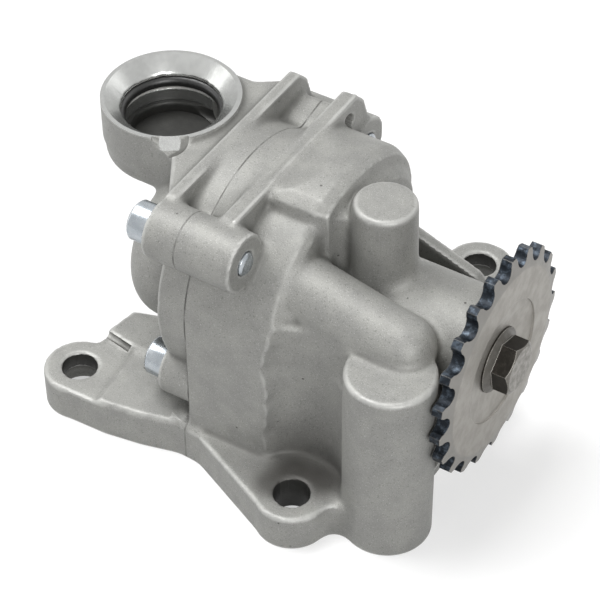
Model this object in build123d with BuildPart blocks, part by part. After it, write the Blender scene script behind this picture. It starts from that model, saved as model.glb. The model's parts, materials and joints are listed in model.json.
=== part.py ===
"""Chain driven gerotor oil pump for a car engine, as an assembly of separate pieces.

X runs along the drive shaft towards the sprocket, Z stands up from the mounting face, and Y = 0 is the plane of
the shaft. The joint between the rear cover and the pump housing lies at X = 0. All lengths are millimetres.
"""
import math
import os

from build123d import *

os.makedirs("parts", exist_ok=True)

# Drive shaft and rotors
SHAFT_Z = 40.0
SHAFT_R = 7.0
RUN = 0.04
ECCENTRICITY = 2.6
LOBES = 6
POCKETS = LOBES + 1
ROLLER_RING = 24.5
ROLLER_R = 6.0
TIP_GAP = 0.3
ROTOR_R = 27.0
POCKET_DEPTH = 16.0
SIDE_GAP = 0.05
ROTOR_W = POCKET_DEPTH - 2 * SIDE_GAP
ARCH_Z = SHAFT_Z + ECCENTRICITY
VOID_R = ROLLER_RING - ROLLER_R + 2 * ECCENTRICITY + TIP_GAP
DRIVE_PIN_R = 2.0
DRIVE_PIN_LEN = 20.0
SHAFT_REAR = -12.0
SHAFT_SHOULDER = 63.8
SHAFT_SPIGOT_R = 6.0
SHAFT_END = 66.6

# Castings
ARCH_R = 32.0
ARCH_X = 24.6
ARCH_DROP = 1.6
RIDGE_TOP = 74.8
DOME_TOP = RIDGE_TOP + 1.6
RIDGE_IN = 6.0
RIDGE_OUT = 10.4
BAND_FOOT = ARCH_Z + 21.17
RIDGE_OUTLINE = [(-24.0, ARCH_Z), (-24.0, RIDGE_TOP), (30.4, RIDGE_TOP), (34.0, 71.4),
                 (37.0, 63.0), (37.0, 50.0), (32.0, ARCH_Z), (-24.0, ARCH_Z)]
# land between the two ridges at the far dowel, and the plain hole through the housing's ear
DOWEL_LAND = [(18.0, 58.0), (21.4, 67.0), (24.3, 67.8), (30.9, 68.9), (32.2, 67.6), (33.6, 58.0),
              (18.0, 58.0)]
EAR_HOLE = (26.5, 69.0)
EAR_HOLE_R = 2.4
COVER_T = 9.2
COVER_FOOT = 11.2
PLATE_T = 10.0
NOSE_R = 15.5
NOSE_END = 62.0
POST_X = 36.0
POST_R = 8.3
POST_TOP = 75.2
BLOCK_X = 56.0
ARM_START = (14.0, -16.7, 58.1)
ARM_END = (51.5, -18.0, 51.0)
ARM_R = 8.0
LUG_R = 9.2
MOUNT_R = 4.5
MOUNTS = {"front": (33.5, -38.2), "rear": (33.5, 56.2), "ear": (-35.0, -29.8)}
SOCKET_CLEAR_R = 13.0
SLEEVE_R = 6.0
SLEEVE_DEPTH = 5.0

# Cover bolts, M6, at (Y, Z): three alike and a short one, each with the reach of its boss on the housing
LONG_BOLTS = [(-27.5, 67.2), (-24.6, 20.2), (24.6, 20.0)]
LONG_REACH = 15.0
SHORT_BOLT = (34.6, 57.0)
SHORT_REACH = 11.4
BOLTS = [(y, z, LONG_REACH) for y, z in LONG_BOLTS] + [(*SHORT_BOLT, SHORT_REACH)]
BOLT_R = 3.0
BOLT_HOLE_R = 3.3
THREAD_GAP = 0.05
BOLT_HEAD_R = 5.0
BOLT_HEAD_H = 6.0
BOLT_SOCKET_AF = 5.0
BOLT_END_GAP = 0.6
BOSS_R = 7.4
DOWELS = [(27.0, 63.4), (-14.5, 14.6)]
DOWEL_R = 2.5
DOWEL_LEN = 12.0

# Suction port
PORT_X = -29.5
PORT_Y = 8.5
PORT_Z = 74.0
PORT_RING_R = 17.3
PORT_FLARE_R = 16.3
PORT_FLARE_DEPTH = 3.6
PORT_BORE_R = 12.2
PORT_STEP_R = 10.8
PORT_STEP_Z = 62.5
PORT_FLOOR = 59.8
DUCT_BOTTOM = 57.0
ORING_Z = 68.0
ORING_TUBE = 1.5
ORING_R = PORT_BORE_R - 0.8 + ORING_TUBE

# Pressure outlet in the mounting face
OUTLET_X = 53.3
OUTLET_Y = -26.6
OUTLET_R = 11.0
OUTLET_TOP = 51.5
OUTLET_BORE_R = 6.5
OUTLET_BORE_TOP = 47.0
SEAL_TUBE = 0.9
SEAL_RING_R = 8.6
SEAL_GROOVE_W = 2.0
SEAL_GROOVE_D = 1.9

# Relief valve, across the foot of the outlet
VALVE_X = 51.5
VALVE_Z = 13.0
VALVE_WALL_R = 8.4
VALVE_BORE_R = 5.0
PISTON_R = VALVE_BORE_R - RUN
VALVE_SEAT_Y = -17.0
VALVE_SEAT_R = 3.6
PISTON_LEN = 14.0
PISTON_CUP_R = 3.6
PISTON_CROWN = 3.0
VALVE_LIFT = 5.0
VALVE_END_Y = 24.0
CAP_T = 4.0
CAP_Y = 17.5
CAP_GAP = 0.05
CAP_GROOVE_Y = 18.8
CAP_GROOVE_W = 1.7
CAP_GROOVE_D = 1.1
RING_Y = CAP_Y + CAP_T
RING_T = 1.2
RING_GROOVE_D = 0.9
SPRING_R = 2.75
SPRING_WIRE = 0.9
SPRING_TURNS = 6.0

# Chain sprocket
TEETH = 21
PITCH_R = 28.0
CHAIN_ROLLER_R = 2.5
TOOTH_TIP_R = PITCH_R + 0.9
TOOTH_W = 3.6
TOOTH_TURN = 4.6
TOOTH_BEVEL_R = 24.2
TOOTH_BEVEL = 0.9
SPROCKET_FACE = 68.6
HUB_R = 13.6
HUB_BACK = 62.6
RECESS_R = 16.0
RECESS_DEPTH = 1.7
BOLT_FLANGE_R = 8.4
BOLT_RIM_H = 0.8
BOLT_FLANGE_H = 1.9
HEX_AF = 12.0
HEX_H = 4.5
HEX_TURN = 42.2
HEX_CHAMFER_R = 5.7
CENTRE_BOLT_R = 4.0
CENTRE_BOLT_LEN = 22.0

# Bushes
BUSH_WALL = 1.5
BUSH_R = SHAFT_R + RUN + BUSH_WALL
FRONT_BUSH = (38.0, 60.0)
REAR_BUSH = (-12.0, -0.2)


def yz(x):
    """Sketch plane across the shaft at the given X."""
    return Plane.YZ.offset(x)


def along_y(x, y, z):
    """Sketch plane facing +Y with its centre at the given point."""
    return Plane(origin=(x, y, z), x_dir=(-1, 0, 0), z_dir=(0, 1, 0))


def lobe_point(t):
    """One point of the inner rotor's outline: a trochoid set in by the roller radius."""
    n = POCKETS
    py = ROLLER_RING * math.sin(t) + ECCENTRICITY * math.sin(n * t)
    pz = ROLLER_RING * math.cos(t) + ECCENTRICITY * math.cos(n * t)
    ty = ROLLER_RING * math.cos(t) + ECCENTRICITY * n * math.cos(n * t)
    tz = -ROLLER_RING * math.sin(t) - ECCENTRICITY * n * math.sin(n * t)
    size = math.hypot(ty, tz)
    inset = ROLLER_R + TIP_GAP
    return (py + inset * tz / size, pz - inset * ty / size)


# Pump housing: mounting plate, rotor arch, bearing nose, outlet and valve body in one casting
with BuildPart() as pump_housing:
    with BuildSketch(Plane.XY):
        with BuildLine():
            Polyline((-36.0, -38.8), (-22.0, -38.4), (-12.0, -36.8), (-2.0, -34.2), (4.0, -34.6), (27.5, -45.3),
                     (33.5, -46.2), (41.5, -42.0), (43.6, -37.4), (46.4, -35.9), (50.0, -37.0), (60.0, -24.0),
                     (56.0, -10.0), (56.0, 24.0), (46.0, 34.0), (42.7, 56.2), (24.3, 56.2), (20.0, 34.0),
                     (-6.0, 30.0), (-18.0, -2.0), (-33.0, -6.8), (-36.0, -21.0), (-36.0, -38.8))
        make_face()
        with Locations(*MOUNTS.values()):
            Circle(LUG_R)
        with Locations((OUTLET_X, OUTLET_Y)):
            Circle(OUTLET_R)
    extrude(amount=PLATE_T)
    # raised land behind the ear and the slightly lower ear seat
    with BuildSketch(Plane.XY.offset(PLATE_T)):
        with BuildLine():
            Polyline((-35.4, -17.2), (-27.4, -18.6), (-11.4, -18.6), (-11.4, 0.0), (-18.0, -2.4), (-33.6, -7.6),
                     (-35.4, -17.2))
        make_face()
    extrude(amount=1.8)
    with BuildSketch(Plane.XY.offset(PLATE_T)):
        with BuildLine():
            Polyline((-23.6, -37.8), (-12.0, -36.0), (-2.0, -33.4), (4.0, -33.0), (4.0, -10.0), (-25.4, -18.6),
                     (-23.6, -37.8))
        make_face()
    extrude(amount=0.8)

    # arch round the rotors, standing on the plate
    with BuildSketch(yz(0)):
        with Locations((0, ARCH_Z)):
            Circle(ARCH_R)
        with Locations((0, ARCH_Z / 2)):
            Rectangle(2 * ARCH_R, ARCH_Z)
    extrude(amount=RIDGE_OUT)
    for start, reach, slope in ((0.0, ARCH_X - 2.2, 0), (ARCH_X - 2.2, 0.9, 18), (ARCH_X - 2.2, 2.2, 40)):
        with BuildSketch(yz(start)):
            with Locations((0, ARCH_Z - ARCH_DROP)):
                Circle(ARCH_R)
            with Locations((0, (ARCH_Z - ARCH_DROP) / 2)):
                Rectangle(2 * ARCH_R, ARCH_Z - ARCH_DROP)
        extrude(amount=reach, taper=slope)

    # dome over the far half of the rotors, its end sloping down towards the nose
    dome_end = RIDGE_OUT + 13.0
    for start, reach, slope in ((RIDGE_OUT - 2.0, 15.0, 0), (dome_end, 3.0, 25), (dome_end, 6.0, 45)):
        with BuildSketch(yz(start)):
            with BuildLine():
                Polyline((-11.0, ARCH_Z), (-11.0, DOME_TOP - 2.8), (-8.0, DOME_TOP - 0.8))
                ThreePointArc((-8.0, DOME_TOP - 0.8), (7.0, DOME_TOP), (20.0, DOME_TOP - 4.0))
                ThreePointArc((20.0, DOME_TOP - 4.0), (28.4, DOME_TOP - 11.4), (31.8, ARCH_Z + 11.4))
                Polyline((31.8, ARCH_Z + 11.4), (31.8, ARCH_Z), (-11.0, ARCH_Z))
            make_face()
        extrude(amount=reach, taper=slope)

    # joint flange: straight topped ridge and the bolt bosses
    with BuildSketch(yz(RIDGE_IN)):
        with BuildLine():
            Polyline(*RIDGE_OUTLINE)
        make_face()
    extrude(amount=RIDGE_OUT - RIDGE_IN)
    with BuildSketch(yz(0)):
        with BuildLine():
            ThreePointArc((-24.0, BAND_FOOT), (-4.0, ARCH_Z + 31.75), (16.0, ARCH_Z + 27.71))
            Polyline((16.0, ARCH_Z + 27.71), (16.0, ARCH_Z), (-24.0, ARCH_Z), (-24.0, BAND_FOOT))
        make_face()
    with BuildSketch(yz(RIDGE_OUT)):
        with BuildLine():
            ThreePointArc((-24.0, RIDGE_TOP - 0.2), (-4.0, RIDGE_TOP), (16.0, RIDGE_TOP - 0.2))
            Polyline((16.0, RIDGE_TOP - 0.2), (16.0, ARCH_Z), (-24.0, ARCH_Z), (-24.0, RIDGE_TOP - 0.2))
        make_face()
    loft(ruled=True)
    with BuildSketch(yz(0)):
        with BuildLine():
            Polyline(*DOWEL_LAND)
        make_face()
    extrude(amount=RIDGE_OUT)
    with BuildSketch(yz(RIDGE_IN)):
        with Locations(EAR_HOLE):
            Circle(EAR_HOLE_R)
    extrude(amount=RIDGE_OUT - RIDGE_IN, mode=Mode.SUBTRACT)
    for bolt_y, bolt_z, reach in BOLTS:
        with BuildSketch(yz(0)):
            with Locations((bolt_y, bolt_z)):
                Circle(BOSS_R)
        extrude(amount=reach)

    # block behind the bearing nose, open round the front mounting lug
    with BuildSketch(Plane.XY):
        with BuildLine():
            Polyline((10.0, -ARCH_R), (47.0, -ARCH_R), (BLOCK_X, -24.0), (BLOCK_X, 10.0), (10.0, 14.0),
                     (10.0, -ARCH_R))
        make_face()
    extrude(amount=SHAFT_Z)
    with BuildSketch(Plane.XY):
        with BuildLine():
            Polyline((10.0, -30.0), (23.0, -30.0), (30.0, -25.4), (50.0, -25.0), (50.0, -10.0), (10.0, -4.0),
                     (10.0, -30.0))
        make_face()
    extrude(amount=52.0)
    with BuildSketch(Plane.XY.offset(PLATE_T)):
        with Locations(MOUNTS["front"]):
            Circle(SOCKET_CLEAR_R)
    extrude(amount=60.0, mode=Mode.SUBTRACT)

    # arm that carries the pressure passage down to the outlet
    arm_run = Vector(*ARM_END) - Vector(*ARM_START)
    with BuildSketch(Plane(origin=ARM_START, z_dir=arm_run)):
        Circle(ARM_R)
    extrude(amount=arm_run.length)
    with Locations(ARM_END):
        Sphere(ARM_R)

    # bearing nose round the shaft
    with BuildSketch(yz(10.0)):
        with Locations((0, SHAFT_Z)):
            Circle(NOSE_R)
    extrude(amount=NOSE_END - 10.0)

    # post above the nose
    with BuildSketch(Plane.XY.offset(SHAFT_Z + 8.0)):
        with Locations((POST_X, 0.0)):
            Circle(POST_R)
    extrude(amount=POST_TOP - SHAFT_Z - 8.0, taper=1.2)
    post_rim = pump_housing.faces().filter_by(Axis.Z).sort_by_distance((POST_X, 0.0, POST_TOP))[0].edges()
    fillet(post_rim, 1.0)

    # outlet column
    with BuildSketch(Plane.XY):
        with Locations((OUTLET_X, OUTLET_Y)):
            Circle(OUTLET_R)
    extrude(amount=OUTLET_TOP)

    # far side wall down to the rear lug
    with BuildSketch(Plane.XZ.offset(-ARCH_R)):
        with BuildLine():
            Polyline((20.0, 0.0), (20.0, 44.0), (27.0, 40.0), (46.0, 33.0), (48.0, 31.0), (48.0, 0.0), (20.0, 0.0))
        make_face()
    extrude(amount=3.4)

    # relief valve body across the casting
    with BuildSketch(along_y(VALVE_X, OUTLET_Y, VALVE_Z)):
        Circle(VALVE_WALL_R)
    extrude(amount=VALVE_END_Y - OUTLET_Y)

    # rotor pocket and ports
    with BuildSketch(yz(0)):
        with Locations((0, ARCH_Z)):
            Circle(ROTOR_R + RUN)
    extrude(amount=POCKET_DEPTH, mode=Mode.SUBTRACT)
    with BuildSketch(yz(POCKET_DEPTH)):
        with Locations((0, SHAFT_Z + ECCENTRICITY / 2)):
            SlotArc(CenterArc((0, 0), 19.6, 122, 116, mode=Mode.PRIVATE), 6.4)
    extrude(amount=5.0, mode=Mode.SUBTRACT)
    with BuildSketch(yz(POCKET_DEPTH)):
        with Locations((0, SHAFT_Z + ECCENTRICITY / 2)):
            SlotArc(CenterArc((0, 0), 19.6, -58, 116, mode=Mode.PRIVATE), 6.4)
    extrude(amount=3.0, mode=Mode.SUBTRACT)
    with BuildSketch(Plane(origin=(16.5, -17.0, 56.0), z_dir=(36.5, -6.0, -11.5))):
        Circle(4.2)
    extrude(amount=38.0, mode=Mode.SUBTRACT)
    with BuildSketch(Plane.XY):
        with Locations((OUTLET_X, OUTLET_Y)):
            Circle(OUTLET_BORE_R)
    extrude(amount=OUTLET_BORE_TOP, mode=Mode.SUBTRACT)
    with BuildSketch(Plane.XY):
        with Locations((OUTLET_X, OUTLET_Y)):
            Circle(SEAL_RING_R + SEAL_GROOVE_W / 2)
            Circle(SEAL_RING_R - SEAL_GROOVE_W / 2, mode=Mode.SUBTRACT)
    extrude(amount=SEAL_GROOVE_D, mode=Mode.SUBTRACT)

    # shaft bore and front bush seat
    with BuildSketch(yz(POCKET_DEPTH)):
        with Locations((0, SHAFT_Z)):
            Circle(SHAFT_R + 0.3)
    extrude(amount=NOSE_END - POCKET_DEPTH, mode=Mode.SUBTRACT)
    with BuildSketch(yz(FRONT_BUSH[0])):
        with Locations((0, SHAFT_Z)):
            Circle(BUSH_R)
    extrude(amount=NOSE_END - FRONT_BUSH[0], mode=Mode.SUBTRACT)

    # relief valve bore, seat, spill port, cap grooves
    with BuildSketch(along_y(VALVE_X, VALVE_SEAT_Y, VALVE_Z)):
        Circle(VALVE_BORE_R)
    extrude(amount=VALVE_END_Y - VALVE_SEAT_Y, mode=Mode.SUBTRACT)
    with BuildSketch(along_y(VALVE_X, OUTLET_Y, VALVE_Z)):
        Circle(VALVE_SEAT_R)
    extrude(amount=VALVE_SEAT_Y - OUTLET_Y, mode=Mode.SUBTRACT)
    with BuildSketch(yz(VALVE_X)):
        with Locations((VALVE_SEAT_Y + VALVE_LIFT - 1.0, VALVE_Z)):
            Circle(2.5)
    extrude(amount=12.0, mode=Mode.SUBTRACT)
    with BuildSketch(along_y(VALVE_X, RING_Y, VALVE_Z)):
        Circle(VALVE_BORE_R + RING_GROOVE_D)
    extrude(amount=RING_T + 0.1, mode=Mode.SUBTRACT)

    # mounting holes, with sleeve seats under the ear and the rear lug
    with BuildSketch(Plane.XY):
        with Locations(*MOUNTS.values()):
            Circle(MOUNT_R)
    extrude(amount=PLATE_T + 3.0, mode=Mode.SUBTRACT)
    with BuildSketch(Plane.XY):
        with Locations(MOUNTS["ear"], MOUNTS["rear"]):
            Circle(SLEEVE_R)
    extrude(amount=SLEEVE_DEPTH, mode=Mode.SUBTRACT)

    # tapped bolt holes and dowel holes
    for bolt_y, bolt_z, reach in BOLTS:
        with BuildSketch(yz(0)):
            with Locations((bolt_y, bolt_z)):
                Circle(BOLT_R + THREAD_GAP)
        extrude(amount=reach, mode=Mode.SUBTRACT)
    for dowel_y, dowel_z in DOWELS:
        with BuildSketch(yz(0)):
            with Locations((dowel_y, dowel_z)):
                Circle(DOWEL_R)
        extrude(amount=DOWEL_LEN / 2 + 0.5, mode=Mode.SUBTRACT)

    # foundry radii at the foot of the post and at the root of the outlet column
    for corner, radius in (((38.5, 7.8, 53.4), 4.0), ((42.5, -28.9, 25.0), 4.0)):
        fillet(pump_housing.edges().sort_by_distance(corner)[0], radius)

# Rear cover: the arch's lid with the suction port cast on
with BuildPart() as rear_cover:
    with BuildSketch(yz(0)):
        with Locations((0, ARCH_Z)):
            Circle(ARCH_R)
        with BuildLine():
            Polyline((-20.0, 20.0), (-19.0, COVER_FOOT), (-8.0, COVER_FOOT), (-6.0, 20.0), (-20.0, 20.0))
        make_face()
    extrude(amount=-(COVER_T - 1.2))
    with BuildSketch(yz(-RIDGE_IN)):
        with BuildLine():
            Polyline(*RIDGE_OUTLINE)
        make_face()
    extrude(amount=-(COVER_T - RIDGE_IN))
    with BuildSketch(yz(0)):
        with BuildLine():
            Polyline(*DOWEL_LAND)
        make_face()
    extrude(amount=-RIDGE_IN - 0.5)
    for bolt_y, bolt_z, reach in BOLTS:
        with BuildSketch(yz(0)):
            with Locations((bolt_y, bolt_z)):
                Circle(BOSS_R)
        extrude(amount=-COVER_T)

    # bulge over the rear bearing
    with BuildSketch(yz(-2.0)):
        with Locations((-6.0, 43.0)):
            Circle(19.5)
    extrude(amount=-22.0)
    bulge_rim = rear_cover.faces().filter_by(Axis.X).sort_by(Axis.X)[0].edges()
    fillet(bulge_rim, 8.5)

    # suction duct and port ring
    with BuildSketch(Plane.XY.offset(DUCT_BOTTOM)):
        with Locations((PORT_X, PORT_Y)):
            Circle(PORT_RING_R - 0.6)
        with BuildLine():
            Polyline((PORT_X, PORT_Y - PORT_RING_R + 0.6), (-18.0, PORT_Y - PORT_RING_R + 0.6), (-8.6, -24.0),
                     (-7.0, -24.0), (-7.0, 30.0), (-9.0, 30.0), (-16.0, PORT_Y + PORT_RING_R - 0.6),
                     (PORT_X, PORT_Y + PORT_RING_R - 0.6), (PORT_X, PORT_Y - PORT_RING_R + 0.6))
        make_face()
    extrude(amount=72.4 - DUCT_BOTTOM)
    duct_floor = rear_cover.faces().filter_by(Axis.Z).filter_by(lambda f: abs(f.center().Z - DUCT_BOTTOM) < 0.01)
    duct_arc = duct_floor.edges().filter_by(GeomType.CIRCLE)
    fillet(duct_arc, 3.0)
    with BuildSketch(Plane.XY.offset(DUCT_BOTTOM + 6.0)):
        with Locations((PORT_X, PORT_Y)):
            Circle(PORT_RING_R)
    extrude(amount=PORT_Z - DUCT_BOTTOM - 6.0)

    # bore, flare, seal groove
    with BuildSketch(Plane.XY.offset(PORT_STEP_Z)):
        with Locations((PORT_X, PORT_Y)):
            Circle(PORT_BORE_R)
    extrude(amount=PORT_Z - PORT_STEP_Z, mode=Mode.SUBTRACT)
    with BuildSketch(Plane.XY.offset(PORT_FLOOR)):
        with Locations((PORT_X, PORT_Y)):
            Circle(PORT_STEP_R)
    extrude(amount=PORT_STEP_Z - PORT_FLOOR, mode=Mode.SUBTRACT)
    with BuildSketch(Plane.XY.offset(PORT_Z - PORT_FLARE_DEPTH)):
        with Locations((PORT_X, PORT_Y)):
            Circle(PORT_BORE_R)
    with BuildSketch(Plane.XY.offset(PORT_Z)):
        with Locations((PORT_X, PORT_Y)):
            Circle(PORT_FLARE_R)
    loft(mode=Mode.SUBTRACT)
    with BuildSketch(Plane.XY.offset(ORING_Z - ORING_TUBE - 0.1)):
        with Locations((PORT_X, PORT_Y)):
            Circle(ORING_R + ORING_TUBE + 0.1)
    extrude(amount=2 * ORING_TUBE + 0.2, mode=Mode.SUBTRACT)

    # duct from the port to the suction side of the rotors
    with BuildSketch(Plane.XY.offset(PORT_FLOOR)):
        with Locations((PORT_X / 2 - 2.0, 13.0)):
            Rectangle(abs(PORT_X) - 4.0, 14.0)
    extrude(amount=7.0, mode=Mode.SUBTRACT)
    with BuildSketch(yz(0)):
        with Locations((0, SHAFT_Z + ECCENTRICITY / 2)):
            SlotArc(CenterArc((0, 0), 19.6, -58, 122, mode=Mode.PRIVATE), 6.4)
    extrude(amount=-6.0, mode=Mode.SUBTRACT)
    with BuildSketch(yz(0)):
        with Locations((0, SHAFT_Z + ECCENTRICITY / 2)):
            SlotArc(CenterArc((0, 0), 19.6, 122, 116, mode=Mode.PRIVATE), 6.4)
    extrude(amount=-2.5, mode=Mode.SUBTRACT)

    # rear bush seat, bolt and dowel holes
    with BuildSketch(yz(0)):
        with Locations((0, SHAFT_Z)):
            Circle(BUSH_R)
    extrude(amount=SHAFT_REAR - 1.0, mode=Mode.SUBTRACT)
    for bolt_y, bolt_z, reach in BOLTS:
        with BuildSketch(yz(0)):
            with Locations((bolt_y, bolt_z)):
                Circle(BOLT_HOLE_R)
        extrude(amount=-COVER_T - 14.0, mode=Mode.SUBTRACT)
        with BuildSketch(yz(-COVER_T)):
            with Locations((bolt_y, bolt_z)):
                Circle(BOLT_HEAD_R + 0.6)
        extrude(amount=-14.0, mode=Mode.SUBTRACT)
    for dowel_y, dowel_z in DOWELS:
        with BuildSketch(yz(0)):
            with Locations((dowel_y, dowel_z)):
                Circle(DOWEL_R)
        extrude(amount=-DOWEL_LEN / 2 - 0.5, mode=Mode.SUBTRACT)

# Drive shaft
with BuildPart() as drive_shaft:
    with BuildSketch(yz(SHAFT_REAR)):
        with Locations((0, SHAFT_Z)):
            Circle(SHAFT_R)
    extrude(amount=SHAFT_SHOULDER - SHAFT_REAR)
    with BuildSketch(yz(SHAFT_SHOULDER)):
        with Locations((0, SHAFT_Z)):
            Circle(SHAFT_SPIGOT_R)
    extrude(amount=SHAFT_END - SHAFT_SHOULDER)
    with BuildSketch(yz(SHAFT_END)):
        with Locations((0, SHAFT_Z)):
            Circle(CENTRE_BOLT_R + THREAD_GAP)
    extrude(amount=-CENTRE_BOLT_LEN, mode=Mode.SUBTRACT)
    with BuildSketch(Plane.XY.offset(SHAFT_Z - SHAFT_R)):
        with Locations((POCKET_DEPTH / 2, 0)):
            Circle(DRIVE_PIN_R)
    extrude(amount=2 * SHAFT_R, mode=Mode.SUBTRACT)

# Cross pin that drives the inner rotor
with BuildPart() as rotor_drive_pin:
    with BuildSketch(Plane.XY.offset(SHAFT_Z - DRIVE_PIN_LEN / 2)):
        with Locations((POCKET_DEPTH / 2, 0)):
            Circle(DRIVE_PIN_R)
    extrude(amount=DRIVE_PIN_LEN)

# Inner rotor with six lobes
with BuildPart() as inner_rotor:
    with BuildSketch(yz(SIDE_GAP)):
        with BuildLine():
            Spline([(p[0], p[1] + SHAFT_Z) for p in (lobe_point(2 * math.pi * k / 96) for k in range(96))],
                   periodic=True)
        make_face()
        with Locations((0, SHAFT_Z)):
            Circle(SHAFT_R, mode=Mode.SUBTRACT)
    extrude(amount=ROTOR_W)
    with BuildSketch(Plane.XY.offset(SHAFT_Z - DRIVE_PIN_LEN / 2)):
        with Locations((POCKET_DEPTH / 2, 0)):
            Circle(DRIVE_PIN_R)
    extrude(amount=DRIVE_PIN_LEN, mode=Mode.SUBTRACT)

# Outer rotor with seven pockets
with BuildPart() as outer_rotor:
    with BuildSketch(yz(SIDE_GAP)):
        with Locations((0, ARCH_Z)):
            Circle(ROTOR_R)
    extrude(amount=ROTOR_W)
    with BuildSketch(yz(SIDE_GAP)):
        with Locations((0, ARCH_Z)):
            Circle(VOID_R)
            with PolarLocations(ROLLER_RING, POCKETS, start_angle=90):
                Circle(ROLLER_R, mode=Mode.SUBTRACT)
    extrude(amount=ROTOR_W, mode=Mode.SUBTRACT)

# Plain bearing bushes
with BuildPart() as front_bearing_bush:
    with BuildSketch(yz(FRONT_BUSH[0])):
        with Locations((0, SHAFT_Z)):
            Circle(BUSH_R)
            Circle(SHAFT_R + RUN, mode=Mode.SUBTRACT)
    extrude(amount=FRONT_BUSH[1] - FRONT_BUSH[0])

with BuildPart() as rear_bearing_bush:
    with BuildSketch(yz(REAR_BUSH[0])):
        with Locations((0, SHAFT_Z)):
            Circle(BUSH_R)
            Circle(SHAFT_R + RUN, mode=Mode.SUBTRACT)
    extrude(amount=REAR_BUSH[1] - REAR_BUSH[0])

# Drive sprocket
with BuildPart() as drive_sprocket:
    with BuildSketch(yz(SPROCKET_FACE - TOOTH_W)):
        with Locations((0, SHAFT_Z)):
            Circle(TOOTH_TIP_R)
            with PolarLocations(PITCH_R, TEETH, start_angle=TOOTH_TURN):
                Circle(CHAIN_ROLLER_R + 0.1, mode=Mode.SUBTRACT)
            with PolarLocations(PITCH_R, TEETH, start_angle=TOOTH_TURN):
                Polygon((-0.4, -2.48), (2.6, -4.83), (2.6, 4.83), (-0.4, 2.48), mode=Mode.SUBTRACT)
    extrude(amount=TOOTH_W)
    # bevel on the front of the teeth that guides the chain's plates
    with BuildSketch(Plane.XZ):
        with BuildLine():
            Polyline((SPROCKET_FACE, SHAFT_Z + TOOTH_BEVEL_R),
                     (SPROCKET_FACE, SHAFT_Z + 2 * TOOTH_TIP_R - TOOTH_BEVEL_R),
                     (SPROCKET_FACE - 2 * TOOTH_BEVEL, SHAFT_Z + 2 * TOOTH_TIP_R - TOOTH_BEVEL_R),
                     (SPROCKET_FACE, SHAFT_Z + TOOTH_BEVEL_R))
        make_face()
    revolve(axis=Axis((0, 0, SHAFT_Z), (1, 0, 0)), mode=Mode.SUBTRACT)
    with BuildSketch(yz(HUB_BACK)):
        with Locations((0, SHAFT_Z)):
            Circle(HUB_R)
    extrude(amount=SPROCKET_FACE - TOOTH_W - HUB_BACK)
    with BuildSketch(yz(SPROCKET_FACE)):
        with Locations((0, SHAFT_Z)):
            Circle(RECESS_R)
    extrude(amount=-RECESS_DEPTH, taper=15, mode=Mode.SUBTRACT)
    with BuildSketch(yz(HUB_BACK)):
        with Locations((0, SHAFT_Z)):
            Circle(SHAFT_R + 0.1)
    extrude(amount=SHAFT_SHOULDER - HUB_BACK, mode=Mode.SUBTRACT)
    with BuildSketch(yz(HUB_BACK)):
        with Locations((0, SHAFT_Z)):
            Circle(SHAFT_SPIGOT_R)
    extrude(amount=12.0, mode=Mode.SUBTRACT)

# Flanged bolt that holds the sprocket
SEAT_X = SPROCKET_FACE - RECESS_DEPTH
HEX_END = SEAT_X + BOLT_FLANGE_H + HEX_H
with BuildPart() as sprocket_bolt:
    with BuildSketch(yz(SEAT_X)):
        with Locations((0, SHAFT_Z)):
            RegularPolygon(HEX_AF / 2, 6, major_radius=False, rotation=HEX_TURN)
    extrude(amount=BOLT_FLANGE_H + HEX_H)
    # the end face is chamfered to a circle
    with BuildSketch(Plane.XZ):
        with BuildLine():
            Polyline((HEX_END, SHAFT_Z + HEX_CHAMFER_R), (HEX_END, SHAFT_Z + HEX_AF),
                     (HEX_END - (HEX_AF - HEX_CHAMFER_R) * math.tan(math.radians(30)), SHAFT_Z + HEX_AF),
                     (HEX_END, SHAFT_Z + HEX_CHAMFER_R))
        make_face()
    revolve(axis=Axis((0, 0, SHAFT_Z), (1, 0, 0)), mode=Mode.SUBTRACT)
    with BuildSketch(yz(SEAT_X)):
        with Locations((0, SHAFT_Z)):
            Circle(BOLT_FLANGE_R)
    extrude(amount=BOLT_RIM_H)
    with BuildSketch(yz(SEAT_X + BOLT_RIM_H)):
        with Locations((0, SHAFT_Z)):
            Circle(BOLT_FLANGE_R)
    extrude(amount=BOLT_FLANGE_H - BOLT_RIM_H, taper=55)
    with BuildSketch(yz(SEAT_X)):
        with Locations((0, SHAFT_Z)):
            Circle(CENTRE_BOLT_R)
    extrude(amount=-(CENTRE_BOLT_LEN - 4.0))

# Suction port ring seal
with BuildPart() as suction_port_o_ring:
    with Locations((PORT_X, PORT_Y, ORING_Z)):
        Torus(ORING_R, ORING_TUBE)

# Outlet seal in its groove
with BuildPart() as outlet_port_seal:
    with Locations((OUTLET_X, OUTLET_Y, SEAL_GROOVE_D - SEAL_TUBE)):
        Torus(SEAL_RING_R, SEAL_TUBE)

# Relief piston, a cup closed towards the outlet
with BuildPart() as relief_piston:
    with BuildSketch(along_y(VALVE_X, VALVE_SEAT_Y, VALVE_Z)):
        Circle(PISTON_R)
    extrude(amount=PISTON_LEN)
    with BuildSketch(along_y(VALVE_X, VALVE_SEAT_Y + PISTON_CROWN, VALVE_Z)):
        Circle(PISTON_CUP_R)
    extrude(amount=PISTON_LEN - PISTON_CROWN, mode=Mode.SUBTRACT)

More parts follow.
